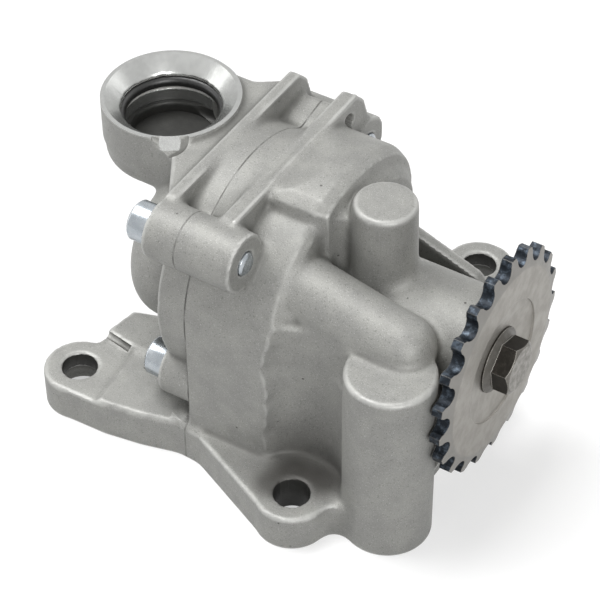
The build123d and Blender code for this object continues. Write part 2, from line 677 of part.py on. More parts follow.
# Relief spring between the piston's crown and the cap
SPRING_START = VALVE_SEAT_Y + PISTON_CROWN + SPRING_WIRE / 2
SPRING_LENGTH = CAP_Y - SPRING_START - SPRING_WIRE / 2
with BuildPart() as relief_spring:
    with BuildLine() as coil:
        Helix(SPRING_LENGTH / SPRING_TURNS, SPRING_LENGTH, SPRING_R, center=(VALVE_X, SPRING_START, VALVE_Z),
              direction=(0, 1, 0))
    with BuildSketch(Plane(origin=coil.line @ 0, z_dir=coil.line % 0)):
        Circle(SPRING_WIRE / 2)
    sweep(path=coil.line, is_frenet=True)

# Sealing cap, its ring and the snap ring that holds it
with BuildPart() as relief_cap:
    with BuildSketch(along_y(VALVE_X, CAP_Y, VALVE_Z)):
        Circle(VALVE_BORE_R - CAP_GAP)
    extrude(amount=CAP_T)
    with BuildSketch(along_y(VALVE_X, CAP_GROOVE_Y, VALVE_Z)):
        Circle(VALVE_BORE_R)
        Circle(VALVE_BORE_R - CAP_GROOVE_D, mode=Mode.SUBTRACT)
    extrude(amount=CAP_GROOVE_W, mode=Mode.SUBTRACT)

with BuildPart() as relief_cap_o_ring:
    with BuildSketch(along_y(VALVE_X, CAP_GROOVE_Y + 0.1, VALVE_Z)):
        Circle(VALVE_BORE_R - 0.01)
        Circle(VALVE_BORE_R - CAP_GROOVE_D + 0.01, mode=Mode.SUBTRACT)
    extrude(amount=CAP_GROOVE_W - 0.2)
    fillet(relief_cap_o_ring.edges().filter_by(GeomType.CIRCLE), 0.35)

with BuildPart() as relief_snap_ring:
    with BuildSketch(along_y(VALVE_X, RING_Y, VALVE_Z)):
        Circle(VALVE_BORE_R + RING_GROOVE_D - 0.1)
        Circle(VALVE_BORE_R - 1.3, mode=Mode.SUBTRACT)
        with Locations((0, -VALVE_BORE_R)):
            Rectangle(4.0, 5.0, mode=Mode.SUBTRACT)
    extrude(amount=RING_T)



def socket_bolts(places, reach):
    """Hexagon socket bolts of one length, their heads on the cover's back, as one group of separate solids."""
    with BuildPart() as bolts:
        for bolt_y, bolt_z in places:
            with BuildSketch(yz(-COVER_T)):
                with Locations((bolt_y, bolt_z)):
                    Circle(BOLT_HEAD_R)
            extrude(amount=-BOLT_HEAD_H)
            with BuildSketch(yz(-COVER_T - BOLT_HEAD_H)):
                with Locations((bolt_y, bolt_z)):
                    RegularPolygon(BOLT_SOCKET_AF / 2, 6, major_radius=False)
            extrude(amount=3.2, mode=Mode.SUBTRACT)
            with BuildSketch(yz(-COVER_T)):
                with Locations((bolt_y, bolt_z)):
                    Circle(BOLT_R)
            extrude(amount=COVER_T + reach - BOLT_END_GAP)
    return bolts


# Cover bolts with hexagon sockets
cover_bolts = socket_bolts(LONG_BOLTS, LONG_REACH)
short_cover_bolt = socket_bolts([SHORT_BOLT], SHORT_REACH)

# Dowels between cover and housing
with BuildPart() as cover_dowels:
    for dowel_y, dowel_z in DOWELS:
        with BuildSketch(yz(-DOWEL_LEN / 2)):
            with Locations((dowel_y, dowel_z)):
                Circle(DOWEL_R)
        extrude(amount=DOWEL_LEN)

PIECES = {
    "pump_housing": pump_housing,
    "rear_cover": rear_cover,
    "drive_shaft": drive_shaft,
    "rotor_drive_pin": rotor_drive_pin,
    "inner_rotor": inner_rotor,
    "outer_rotor": outer_rotor,
    "front_bearing_bush": front_bearing_bush,
    "rear_bearing_bush": rear_bearing_bush,
    "drive_sprocket": drive_sprocket,
    "sprocket_bolt": sprocket_bolt,
    "suction_port_o_ring": suction_port_o_ring,
    "outlet_port_seal": outlet_port_seal,
    "relief_piston": relief_piston,
    "relief_spring": relief_spring,
    "relief_cap": relief_cap,
    "relief_cap_o_ring": relief_cap_o_ring,
    "relief_snap_ring": relief_snap_ring,
    "cover_bolts": cover_bolts,
    "short_cover_bolt": short_cover_bolt,
    "cover_dowels": cover_dowels,
}
for piece_name, piece in PIECES.items():
    piece.part.label = piece_name
    export_step(piece.part, f"parts/{piece_name}.step")
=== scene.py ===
"""Studio scene of a chain driven gerotor oil pump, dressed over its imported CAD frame.

X runs along the drive shaft towards the sprocket and Z stands up from the mounting face. Sizes are written in
millimetres and turned to metres by MM where they reach Blender.
"""
import json
import logging
import math
from dataclasses import dataclass
from enum import Enum
from typing import Sequence, Union

import bmesh
import bpy
import numpy as np
from mathutils import Matrix, Vector

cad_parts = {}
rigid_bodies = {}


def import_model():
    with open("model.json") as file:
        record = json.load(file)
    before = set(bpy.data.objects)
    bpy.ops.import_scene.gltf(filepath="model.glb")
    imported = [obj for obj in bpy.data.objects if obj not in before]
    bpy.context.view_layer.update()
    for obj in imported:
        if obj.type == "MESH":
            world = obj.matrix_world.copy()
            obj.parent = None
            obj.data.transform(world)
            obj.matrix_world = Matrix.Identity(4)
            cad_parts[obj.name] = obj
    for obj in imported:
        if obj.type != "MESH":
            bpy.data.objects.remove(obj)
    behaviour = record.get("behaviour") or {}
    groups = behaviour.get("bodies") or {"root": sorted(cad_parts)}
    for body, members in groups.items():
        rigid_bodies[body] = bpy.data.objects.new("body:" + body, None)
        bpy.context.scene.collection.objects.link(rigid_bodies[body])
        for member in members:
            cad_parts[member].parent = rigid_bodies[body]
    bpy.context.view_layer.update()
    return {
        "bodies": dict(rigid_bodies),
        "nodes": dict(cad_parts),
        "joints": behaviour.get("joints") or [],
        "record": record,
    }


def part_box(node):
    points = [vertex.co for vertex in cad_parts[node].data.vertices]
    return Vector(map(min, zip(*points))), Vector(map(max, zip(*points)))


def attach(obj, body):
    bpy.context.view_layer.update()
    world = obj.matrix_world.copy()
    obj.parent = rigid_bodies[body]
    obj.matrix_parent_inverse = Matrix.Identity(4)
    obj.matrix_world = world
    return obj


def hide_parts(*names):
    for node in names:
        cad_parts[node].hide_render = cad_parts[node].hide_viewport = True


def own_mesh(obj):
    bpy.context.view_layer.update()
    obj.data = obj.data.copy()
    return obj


MM = 0.001
LOG = logging.getLogger("oil_pump")

Value = Union[float, Sequence[float], bpy.types.NodeSocket]
Point = tuple[float, float, float]

# Heights of the shaft and of the rotor arch's centre, and X and Z of the relief valve, in millimetres
SHAFT_Z = 40.0
ARCH_Z = 42.6
VALVE_X, VALVE_Z = 51.5, 13.0
# Y and Z of the bolts and dowels that hold the castings together
LONG_BOLTS = ((-27.5, 67.2), (-24.6, 20.2), (24.6, 20.0))
SHORT_BOLT = (34.6, 57.0)
DOWELS = ((27.0, 63.4), (-14.5, 14.6))
# Points round a cut, and, in metres, how near points are one, faces level and centres inside a box
ROUND = 96
MERGE, ON_LEVEL, BOX_SLACK = 2e-6, 2e-5, 2e-4


class Body(str, Enum):
    """Rigid bodies that the pieces made here ride on."""

    HOUSING = "housing"
    DRIVE = "drive"


class Axis(Enum):
    """Direction along which a turned or drilled feature runs."""

    ALONG_SHAFT = 0
    UPRIGHT = 2


def linear(hex_colour: str) -> tuple[float, float, float, float]:
    """Turn an sRGB hex colour into linear RGBA.

    Args:
        hex_colour: Colour as six hex digits with a leading hash.

    Returns:
        Linear red, green, blue and an alpha of one.
    """
    channels = []
    for start in (1, 3, 5):
        c = int(hex_colour[start:start + 2], 16) / 255
        channels.append(c / 12.92 if c <= 0.04045 else ((c + 0.055) / 1.055) ** 2.4)
    return (channels[0], channels[1], channels[2], 1.0)


def add_node(tree: bpy.types.NodeTree, kind: str, inputs: dict | None = None,
             **settings: object) -> bpy.types.Node:
    """Add a node with its settings, constants and incoming links.

    Args:
        tree: Node tree that takes the node.
        kind: Blender's type name of the node.
        inputs: Input name or index to a constant or to the socket that feeds it.
        settings: Properties of the node, such as operation.

    Returns:
        The new node.
    """
    node = tree.nodes.new(kind)
    for key, value in settings.items():
        setattr(node, key, value)
    for key, value in (inputs or {}).items():
        if isinstance(value, bpy.types.NodeSocket):
            tree.links.new(value, node.inputs[key])
        else:
            node.inputs[key].default_value = value
    return node


@dataclass(frozen=True)
class Zone:
    """Shell round an axis, inside which a surface has been machined after casting.

    Attributes:
        centre: A point on the axis, in millimetres.
        axis: Direction of the axis.
        outer: Radius of the shell, in millimetres.
        low: Lower end along the axis, in millimetres.
        high: Upper end along the axis, in millimetres.
    """

    centre: Point
    axis: Axis
    outer: float
    low: float
    high: float


@dataclass(frozen=True)
class PaintedShadow:
    """Painted shadow round an upright axis: shade painted into the colour, dark at its foot and fading out
    upwards and outwards.

    Attributes:
        centre: Point at the foot of the painted shadow, in millimetres.
        radius: Radius at which the painted shadow has faded out, in millimetres.
        height: Height at which it has faded out, in millimetres.
        strength: Share of the dark colour at its darkest.
    """

    centre: Point
    radius: float
    height: float
    strength: float


class Shade:
    """Node tree of one material, with the few masks and textures the finishes share."""

    def __init__(self, name: str) -> None:
        """Start a material with an empty tree and a principled shader.

        Args:
            name: Name of the material.
        """
        self.material = bpy.data.materials.new(name)
        self.material.use_nodes = True
        self.tree = self.material.node_tree
        self.tree.nodes.clear()
        self.output = add_node(self.tree, "ShaderNodeOutputMaterial")
        self.surface = add_node(self.tree, "ShaderNodeBsdfPrincipled")
        self.tree.links.new(self.surface.outputs["BSDF"], self.output.inputs["Surface"])
        self.place = add_node(self.tree, "ShaderNodeTexCoord").outputs["Object"]
        axes = add_node(self.tree, "ShaderNodeSeparateXYZ", {"Vector": self.place})
        self.axes = [axes.outputs[i] for i in range(3)]

    def math(self, operation: str, a: Value, b: Value = 0.0) -> bpy.types.NodeSocket:
        """Combine two values.

        Args:
            operation: Name of the math operation.
            a: First value.
            b: Second value.

        Returns:
            The result's socket.
        """
        return add_node(self.tree, "ShaderNodeMath", {0: a, 1: b}, operation=operation).outputs[0]

    def times(self, a: Value, b: Value) -> bpy.types.NodeSocket:
        """Return the product of two values."""
        return self.math("MULTIPLY", a, b)

    def noise(self, grain_mm: float, detail: float = 3.0, rough: float = 0.55) -> bpy.types.NodeSocket:
        """Return a noise value whose features are about the given size.

        Args:
            grain_mm: Size of a feature in millimetres.
            detail: Octaves of finer noise.
            rough: Strength of the finer octaves.
        """
        settings = {"Vector": self.place, "Scale": 1.0 / (grain_mm * MM), "Detail": detail,
                    "Roughness": rough}
        return add_node(self.tree, "ShaderNodeTexNoise", settings).outputs[0]

    def ramp(self, value: Value, low: float, high: float, out_low: float = 0.0,
             out_high: float = 1.0) -> bpy.types.NodeSocket:
        """Map a value smoothly from one range to another.

        Args:
            value: Value to map.
            low: Start of the incoming range.
            high: End of the incoming range.
            out_low: Result at the start.
            out_high: Result at the end.

        Returns:
            The mapped value's socket.
        """
        inputs = {"Value": value, "From Min": low, "From Max": high, "To Min": out_low, "To Max": out_high}
        return add_node(self.tree, "ShaderNodeMapRange", inputs, interpolation_type="SMOOTHSTEP").outputs[0]

    def mix(self, factor: Value, a: Value, b: Value) -> bpy.types.NodeSocket:
        """Blend two colours.

        Args:
            factor: Share of the second colour.
            a: First colour.
            b: Second colour.

        Returns:
            The blended colour's socket.
        """
        return add_node(self.tree, "ShaderNodeMix", {0: factor, 6: a, 7: b}, data_type="RGBA").outputs[2]

    def radius(self, centre: Point, axis: Axis) -> bpy.types.NodeSocket:
        """Return the distance from an axis, in metres.

        Args:
            centre: A point on the axis, in millimetres.
            axis: Direction of the axis.
        """
        squares = [self.math("POWER", self.math("SUBTRACT", self.axes[i], centre[i] * MM), 2.0)
                   for i in range(3) if i != axis.value]
        return self.math("SQRT", self.math("ADD", squares[0], squares[1]))

    def inside(self, zone: Zone) -> bpy.types.NodeSocket:
        """Return one inside a machined zone and zero outside it.

        Args:
            zone: The zone.
        """
        along = self.axes[zone.axis.value]
        near = self.math("LESS_THAN", self.radius(zone.centre, zone.axis), zone.outer * MM)
        above = self.math("GREATER_THAN", along, zone.low * MM)
        below = self.math("LESS_THAN", along, zone.high * MM)
        return self.times(near, self.times(above, below))

    def facing(self) -> bpy.types.NodeSocket:
        """Return how far the surface faces along the shaft, from minus one to one."""
        normal = add_node(self.tree, "ShaderNodeNewGeometry").outputs["Normal"]
        return add_node(self.tree, "ShaderNodeSeparateXYZ", {0: normal}).outputs[0]

    def edges(self, reach_mm: float) -> tuple[bpy.types.NodeSocket, bpy.types.NodeSocket]:
        """Round the edges in the shading and say where they are.

        Args:
            reach_mm: Radius of the rounding in millimetres.

        Returns:
            The rounded normal, and a mask that rises to one along edges and corners.
        """
        rounded = add_node(self.tree, "ShaderNodeBevel", {"Radius": reach_mm * MM}, samples=6).outputs[0]
        flat = add_node(self.tree, "ShaderNodeNewGeometry").outputs["Normal"]
        match = add_node(self.tree, "ShaderNodeVectorMath", {0: rounded, 1: flat}, operation="DOT_PRODUCT")
        return rounded, self.ramp(match.outputs["Value"], 0.999, 0.86)

    def bump(self, height: Value, depth_mm: float, normal: Value | None = None) -> bpy.types.NodeSocket:
        """Turn a height into a bumped normal.

        Args:
            height: Height between zero and one.
            depth_mm: Real depth of the relief in millimetres.
            normal: Normal that the bump starts from.

        Returns:
            The bumped normal's socket.
        """
        inputs = {"Height": height, "Strength": 1.0, "Distance": depth_mm * MM}
        if normal is not None:
            inputs["Normal"] = normal
        return add_node(self.tree, "ShaderNodeBump", inputs).outputs[0]

    def finish(self, **inputs: Value) -> bpy.types.Material:
        """Feed the principled shader and return the material.

        Args:
            inputs: Socket names with underscores for spaces, each with a constant or a socket.

        Returns:
            The finished material.
        """
        for key, value in inputs.items():
            socket = self.surface.inputs[key.replace("_", " ")]
            if isinstance(value, bpy.types.NodeSocket):
                self.tree.links.new(value, socket)
            else:
                socket.default_value = value
        return self.material


@dataclass(frozen=True)
class CastAluminium:
    """Die cast aluminium, shot blasted, with machined seats: soft grey skin, fine grain, a few pores, painted
    shade and highlights.
    """

    name: str
    skin: str = "#91918D"
    shadowed: str = "#868683"
    # Bright specks, and the bright convex edges, which are partly blast wear and partly painted highlight
    bright: str = "#C4C4C1"
    # Grain pits, and the painted shade in creases and hollow corners
    hollow: str = "#50504C"
    machined: str = "#B0B1AF"
    machined_dull: str = "#9C9D9B"
    # Painted shade: near black colour for the walls of bores and the suction port's floor
    shade_in_bores: str = "#2D2D2B"
    shade_in_bores_dull: str = "#3D3D3A"
    # Pores, the dark joint line and the painted shadows all take this colour
    pore: str = "#3A3835"
    grain_mm: float = 0.4
    mottle_mm: float = 6.0
    pore_spacing_mm: float = 7.5
    pore_mm: float = 0.38
    cuts: tuple[Zone, ...] = ()
    # Zones that get the painted bore shade
    painted_bore_shade: tuple[Zone, ...] = ()
    seam_mm: float = 0.22
    relief_mm: float = 0.07
    metallic: float = 0.3
    cut_metallic: float = 0.6
    # Share of a painted shadow's radius that is at full strength
    painted_shadow_core: float = 0.2
    painted_shadows: tuple[PaintedShadow, ...] = ()

    def build(self) -> bpy.types.Material:
        """Return the material."""
        s = Shade(self.name)
        grain = s.noise(self.grain_mm, 2.0)
        speck = s.noise(self.grain_mm * 0.6, 1.0)
        mottle = s.noise(self.mottle_mm, 5.0, 0.6)
        bend = add_node(s.tree, "ShaderNodeNewGeometry").outputs["Pointiness"]
        broken = s.math("ADD", bend, s.times(s.math("SUBTRACT", mottle, 0.5), 0.03))
        seam = s.math("ABSOLUTE", s.axes[0])
        # Bright convex edges: partly blast wear, partly a painted highlight; kept away from the joint
        edge_wear_and_highlight = s.times(s.ramp(broken, 0.508, 0.54), s.ramp(seam, 0.5 * MM, 1.3 * MM))
        # Painted shade: creases and hollow corners are darkened in the colour
        painted_crease_shade = s.ramp(bend, 0.4975, 0.478)
        colour = s.mix(s.ramp(mottle, 0.3, 0.7), linear(self.shadowed), linear(self.skin))
        colour = s.mix(s.ramp(speck, 0.58, 0.74, 0.0, 0.40), colour, linear(self.bright))
        colour = s.mix(s.ramp(grain, 0.43, 0.30, 0.0, 0.50), colour, linear(self.hollow))
        cells = add_node(s.tree, "ShaderNodeTexVoronoi",
                         {"Vector": s.place, "Scale": 1.0 / (self.pore_spacing_mm * MM)})
        pore_share = self.pore_mm / self.pore_spacing_mm
        pores = s.ramp(cells.outputs["Distance"], pore_share, pore_share * 0.4)
        colour = s.mix(s.times(pores, 0.8), colour, linear(self.pore))
        colour = s.mix(s.times(painted_crease_shade, 0.62), colour, linear(self.hollow))
        colour = s.mix(s.times(edge_wear_and_highlight, 0.42), colour, linear(self.bright))
        # Painted shadows: shade painted into the colour where the housing's wall shades the recess round the
        # front lug
        for painted_shadow in self.painted_shadows:
            away = s.radius(painted_shadow.centre, Axis.UPRIGHT)
            near = s.ramp(away, painted_shadow.radius * MM, painted_shadow.radius * self.painted_shadow_core * MM)
            low = s.ramp(s.axes[2], (painted_shadow.centre[2] + painted_shadow.height) * MM, painted_shadow.centre[2] * MM)
            above = s.math("GREATER_THAN", s.axes[2], (painted_shadow.centre[2] - 1.2) * MM)
            depth = s.times(near, low)
            depth = s.times(depth, s.times(above, painted_shadow.strength))
            colour = s.mix(depth, colour, linear(self.pore))
        rough = s.ramp(grain, 0.3, 0.7, 0.48, 0.62)
        rough = s.math("SUBTRACT", rough, s.times(edge_wear_and_highlight, 0.08))
        relief = s.math("ADD", s.times(grain, 0.7), s.times(speck, 0.4))
        relief = s.math("SUBTRACT", relief, s.times(pores, 1.5))
        cut, painted_bore_shade = self.mask(s, self.cuts), self.mask(s, self.painted_bore_shade)
        turned = s.ramp(s.noise(1.8, 3.0), 0.3, 0.7, 0.0, 0.35)
        colour = s.mix(cut, colour, s.mix(turned, linear(self.machined), linear(self.machined_dull)))
        # Painted shade: bore walls and the port's floor are painted near black
        colour = s.mix(painted_bore_shade, colour, s.mix(turned, linear(self.shade_in_bores), linear(self.shade_in_bores_dull)))
        gasket = s.math("LESS_THAN", seam, self.seam_mm * MM)
        gasket = s.times(gasket, s.ramp(mottle, 0.36, 0.60, 0.2, 0.8))
        colour = s.mix(gasket, colour, linear(self.pore))
        smooth = s.math("MAXIMUM", cut, painted_bore_shade)
        relief = s.times(relief, s.math("SUBTRACT", 1.0, s.times(smooth, 0.93)))
        rough = s.math("SUBTRACT", rough, s.times(cut, s.math("SUBTRACT", rough, 0.27)))
        rough = s.math("SUBTRACT", rough, s.times(painted_bore_shade, 0.06))
        metallic = s.math("ADD", self.metallic, s.times(cut, self.cut_metallic))
        return s.finish(Base_Color=colour, Metallic=metallic, Roughness=rough,
                        Normal=s.bump(relief, self.relief_mm))

    def mask(self, shade: Shade, zones: tuple[Zone, ...]) -> Value:
        """Return a mask of one inside any of the zones.

        Args:
            shade: Material being built.
            zones: The zones.
        """
        inside: Value = 0.0
        for zone in zones:
            inside = shade.math("MAXIMUM", inside, shade.inside(zone))
        return inside


@dataclass(frozen=True)
class PlatedSteel:
    """Turned or rolled steel with a thin plated, oiled or phosphated coat, smooth with faint scratches."""

    name: str
    face: str
    worn: str
    metallic: float = 0.95
    roughness: float = 0.3
    scratch_mm: float = 0.6
    edge_mm: float = 0.25

    def build(self) -> bpy.types.Material:
        """Return the material."""
        s = Shade(self.name)
        rounded, edge = s.edges(self.edge_mm)
        cloud = s.noise(2.5, 3.0)
        fine = s.noise(self.scratch_mm, 4.0, 0.7)
        colour = s.mix(s.ramp(cloud, 0.3, 0.75, 0.0, 0.45), linear(self.face), linear(self.worn))
        colour = s.mix(s.times(edge, 0.6), colour, linear(self.worn))
        roughness = s.ramp(fine, 0.25, 0.75, self.roughness - 0.06, self.roughness + 0.1)
        return s.finish(Base_Color=colour, Metallic=self.metallic, Roughness=roughness,
                        Normal=s.bump(fine, 0.004, rounded))


@dataclass(frozen=True)
class HardenedSprocket:
    """Sintered steel sprocket: ground pale face, darker bevel, and teeth left blue black by hardening."""

    name: str = "induction_hardened_sprocket"
    ground: str = "#94918B"
    ground_dull: str = "#84817C"
    rubbed: str = "#9C9890"
    bevel: str = "#84827E"
    hardened: str = "#1B2026"
    glint: str = "#56606B"
    shaft_z: float = SHAFT_Z
    face_r: float = 24.2
    web_r: float = 17.5
    teeth_r: float = 19.0
    mark_mm: float = 0.5

    def build(self) -> bpy.types.Material:
        """Return the material."""
        s = Shade(self.name)
        rounded, edge = s.edges(0.35)
        away = s.radius((0.0, 0.0, self.shaft_z), Axis.ALONG_SHAFT)
        facing = s.ramp(s.math("ABSOLUTE", s.facing()), 0.55, 0.9)
        cloud = s.noise(4.0, 4.0, 0.6)
        rings = s.math("SINE", s.times(away, math.tau / (self.mark_mm * MM)))
        ground = s.mix(s.ramp(cloud, 0.3, 0.7, 0.0, 0.5), linear(self.ground), linear(self.ground_dull))
        rim = s.ramp(away, (self.face_r - 0.5) * MM, (self.face_r + 0.6) * MM)
        face = s.mix(rim, ground, linear(self.bevel))
        teeth = s.mix(s.ramp(s.noise(1.6, 4.0, 0.65), 0.45, 0.8), linear(self.hardened), linear(self.glint))
        outside = s.ramp(away, self.web_r * MM, self.teeth_r * MM)
        flank = s.times(s.math("SUBTRACT", 1.0, facing), outside)
        colour = s.mix(flank, face, teeth)
        colour = s.mix(s.times(edge, 0.35), colour, linear(self.rubbed))
        roughness = s.ramp(cloud, 0.3, 0.7, 0.40, 0.52)
        height = s.math("ADD", s.times(rings, 0.12), s.noise(0.5, 3.0))
        return s.finish(Base_Color=colour, Metallic=0.75, Roughness=roughness,
                        Normal=s.bump(height, 0.02, rounded))


@dataclass(frozen=True)
class OiledBlackSteel:
    """Black finished bolt: near black flanks, a worn grey end face and edges rubbed bright by the wrench."""

    name: str = "black_oiled_bolt_steel"
    flank: str = "#24211D"
    flank_worn: str = "#4A4640"
    face: str = "#85827C"
    face_dull: str = "#6C6963"
    rubbed: str = "#A8A59E"

    def build(self) -> bpy.types.Material:
        """Return the material."""
        s = Shade(self.name)
        rounded, edge = s.edges(0.3)
        facing = s.ramp(s.facing(), 0.7, 0.97)
        cloud = s.noise(1.6, 4.0, 0.65)
        flank = s.mix(s.ramp(cloud, 0.4, 0.8, 0.0, 0.6), linear(self.flank), linear(self.flank_worn))
        end = s.mix(s.ramp(cloud, 0.35, 0.65), linear(self.face), linear(self.face_dull))
        colour = s.mix(facing, flank, end)
        colour = s.mix(s.times(edge, 0.8), colour, linear(self.rubbed))
        return s.finish(Base_Color=colour, Metallic=0.6, Roughness=s.ramp(cloud, 0.3, 0.7, 0.32, 0.46),
                        Normal=s.bump(cloud, 0.01, rounded))


@dataclass(frozen=True)
class MouldedRubber:
    """Moulded nitrile rubber, oiled: black, smooth, with a soft sheen."""

    name: str = "moulded_nitrile_rubber"
    face: str = "#141414"
    sheen: str = "#262625"

    def build(self) -> bpy.types.Material:
        """Return the material."""
        s = Shade(self.name)
        fine = s.noise(0.4, 3.0)
        colour = s.mix(s.ramp(fine, 0.3, 0.7), linear(self.face), linear(self.sheen))
        return s.finish(Base_Color=colour, Roughness=s.ramp(fine, 0.3, 0.7, 0.28, 0.42),
                        Normal=s.bump(fine, 0.02))


def shown(tree: bpy.types.NodeTree) -> bpy.types.NodeSocket:
    """Return one for rays that show a surface, also in metal or glass, and zero for those that light it.

    Args:
        tree: Tree that takes the nodes.
    """
    rays = add_node(tree, "ShaderNodeLightPath")
    straight = {0: rays.outputs["Is Camera Ray"], 1: rays.outputs["Is Glossy Ray"]}
    seen = add_node(tree, "ShaderNodeMath", straight, operation="ADD")
    return add_node(tree, "ShaderNodeMath", {0: seen.outputs[0], 1: rays.outputs["Is Transmission Ray"]},
                    operation="ADD", use_clamp=True).outputs[0]


@dataclass
class Studio:
    """Floor, soft lights and the camera that sees the pump as the photograph does."""

    eye: Point = (230.1, -347.9, 424.2)
    back: Point = (0.3835, -0.6130, 0.6908)
    roll_deg: float = -0.51
    lens_mm: float = 137.8
    floor_hex: str = "#FFFFFF"
    floor_bounce: str = "#B4B4B4"
    floor_size: float = 6.0
    floor_z: float = -0.0002
    floor_glow: float = 0.5
    fill: float = 0.12
    target: Point = (0.0, 0.02, 0.03)

    def build(self) -> None:
        """Make the camera, floor, lamps and world."""
        self.camera()
        self.floor()
        self.lamp("key_softbox", (-0.45, 0.0, 1.3), 0.8, 19.0)
        self.lamp("left_softbox", (-1.25, -0.55, 0.5), 0.9, 5.0)
        self.lamp("right_softbox", (0.9, -0.75, 0.7), 0.7, 11.0)
        self.lamp("back_softbox", (0.4, 0.95, 0.8), 0.7, 2.0)
        self.world()

    def camera(self) -> None:
        """Stand the camera where the photograph was taken."""
        data = bpy.data.cameras.new("camera")
        data.lens = self.lens_mm
        data.sensor_width = 36.0
        data.clip_start = 0.01
        camera = linked("camera", data)
        back = Vector(self.back).normalized()
        side = Vector((0, 0, 1)).cross(back).normalized()
        rise = back.cross(side)
        turn = math.radians(self.roll_deg)
        right = side * math.cos(turn) + rise * math.sin(turn)
        up = rise * math.cos(turn) - side * math.sin(turn)
        frame = Matrix((right, up, back)).transposed().to_4x4()
        frame.translation = Vector(self.eye) * MM
        camera.matrix_world = frame
        bpy.context.scene.camera = camera

    def floor(self) -> None:
        """Lay a plain pale floor just under the mounting face."""
        mesh = bpy.data.meshes.new("floor")
        half = self.floor_size / 2
        corners = [(x * half, y * half, self.floor_z) for x, y in ((-1, -1), (1, -1), (1, 1), (-1, 1))]
        mesh.from_pydata(corners, [], [(0, 1, 2, 3)])
        floor = linked("floor", mesh)
        s = Shade("floor_paper")
        seen = shown(s.tree)
        paper = linear(self.floor_hex)
        dimmed = tuple(c * (1 - self.floor_glow) for c in paper[:3]) + (1.0,)
        colour = s.mix(seen, linear(self.floor_bounce), dimmed)
        floor.data.materials.append(s.finish(Base_Color=colour, Roughness=0.9, Emission_Color=paper,
                                             Emission_Strength=s.times(seen, self.floor_glow)))

    def lamp(self, name: str, place: Point, size: float, power: float) -> None:
        """Hang one soft square lamp that looks at the pump.

        Args:
            name: Name of the lamp.
            place: Place in metres.
            size: Side of the lamp in metres.
            power: Power in watts.
        """
        data = bpy.data.lights.new(name, "AREA")
        data.shape = "SQUARE"
        data.size = size
        data.energy = power
        lamp = linked(name, data)
        lamp.location = place
        aim = Vector(place) - Vector(self.target)
        lamp.rotation_euler = aim.to_track_quat("Z", "Y").to_euler()

    def world(self) -> None:
        """Fill the room with soft white, and show plain white behind the floor."""
        world = bpy.data.worlds.new("studio")
        bpy.context.scene.world = world
        world.use_nodes = True
        tree = world.node_tree
        tree.nodes.clear()
        span = {"Value": shown(tree), "To Min": self.fill, "To Max": 1.0}
        strength = add_node(tree, "ShaderNodeMapRange", span).outputs[0]
        glow = add_node(tree, "ShaderNodeBackground", {"Color": (1.0, 1.0, 1.0, 1.0), "Strength": strength})
        output = add_node(tree, "ShaderNodeOutputWorld")
        tree.links.new(glow.outputs[0], output.inputs["Surface"])


@dataclass(frozen=True)
class Bore:
    """Round cut made in a casting once it has left the die.

    Attributes:
        start: Centre of one end, in millimetres.
        end: Centre of the other end.
        radius: Radius at the start.
        end_radius: Radius at the end, where it differs.
        core_radius: Radius of a core left standing in the middle, as in a ring groove.
    """

    start: Point
    end: Point
    radius: float
    end_radius: float = 0.0
    core_radius: float = 0.0

    def cutter(self) -> bpy.types.Object:
        """Return the solid that the cut takes away."""
        shape = bmesh.new()
        run = (Vector(self.end) - Vector(self.start)) * MM
        core = (self.core_radius, self.core_radius)
        for low, high in ((self.radius, self.end_radius or self.radius), core):
            if low:
                bmesh.ops.create_cone(shape, cap_ends=True, segments=ROUND, radius1=low * MM,
                                      radius2=high * MM, depth=run.length)
        bmesh.ops.transform(shape, matrix=Matrix.Translation((0, 0, run.length / 2)), verts=shape.verts)
        if self.core_radius:
            for top_side in (False, True):
                height = run.length if top_side else 0.0
                caps = [f for f in shape.faces if all(abs(v.co.z - height) < 1e-7 for v in f.verts)]
                rims = [e for f in caps for e in f.edges]
                bmesh.ops.delete(shape, geom=caps, context="FACES_ONLY")
                bmesh.ops.bridge_loops(shape, edges=rims)
            bmesh.ops.recalc_face_normals(shape, faces=shape.faces)
        turn = Vector((0, 0, 1)).rotation_difference(run).to_matrix().to_4x4()
        place = Matrix.Translation(Vector(self.start) * MM) @ turn
        bmesh.ops.transform(shape, matrix=place, verts=shape.verts)
        return as_object("cutter", shape)


@dataclass(frozen=True)
class Faced:
    """Flat face milled on a casting: everything beyond it within a box goes.

    Attributes:
        low: Lowest corner of the box, in millimetres.
        high: Highest corner of the box.
        side: Which way the face looks, as an axis and a sign.
        allowance: Metal left on the blank for the mill, in millimetres.
    """

    low: Point
    high: Point
    side: tuple[Axis, int]
    allowance: float = 3.0

    def level(self) -> float:
        """Height of the face along its axis, in millimetres."""
        axis, sign = self.side
        return self.low[axis.value] if sign > 0 else self.high[axis.value]

    def cutter(self) -> bpy.types.Object:
        """Return the box that the mill takes away."""
        shape = bmesh.new()
        bmesh.ops.create_cube(shape, size=1.0)
        size = [(h - l) * MM for l, h in zip(self.low, self.high)]
        middle = [(h + l) / 2 * MM for l, h in zip(self.low, self.high)]
        bmesh.ops.transform(shape, matrix=Matrix.Translation(middle) @ Matrix.Diagonal((*size, 1.0)),
                            verts=shape.verts)
        return as_object("cutter", shape)


@dataclass(frozen=True)
class Slope:
    """Slope along the shaft down to which the top of a casting is pressed within a box.

    Attributes:
        low: Lowest corner of the box, in millimetres.
        high: Highest corner of the box.
        level: Height of the slope where the box starts.
        rise: How far it rises along the box.
    """

    low: Point
    high: Point
    level: float
    rise: float

    def press(self, mesh: bpy.types.Mesh) -> None:
        """Press the mesh down to the slope.

        Args:
            mesh: The blank's mesh.
        """
        place = points_of(mesh)
        low, high = np.array(self.low) * MM, np.array(self.high) * MM
        inside = ((place > low) & (place < high)).all(axis=1)
        share = (place[:, 0] - low[0]) / (high[0] - low[0])
        top = (self.level + self.rise * share) * MM
        place[:, 2] = np.where(inside, np.minimum(place[:, 2], top), place[:, 2])
        move_points(mesh, place)


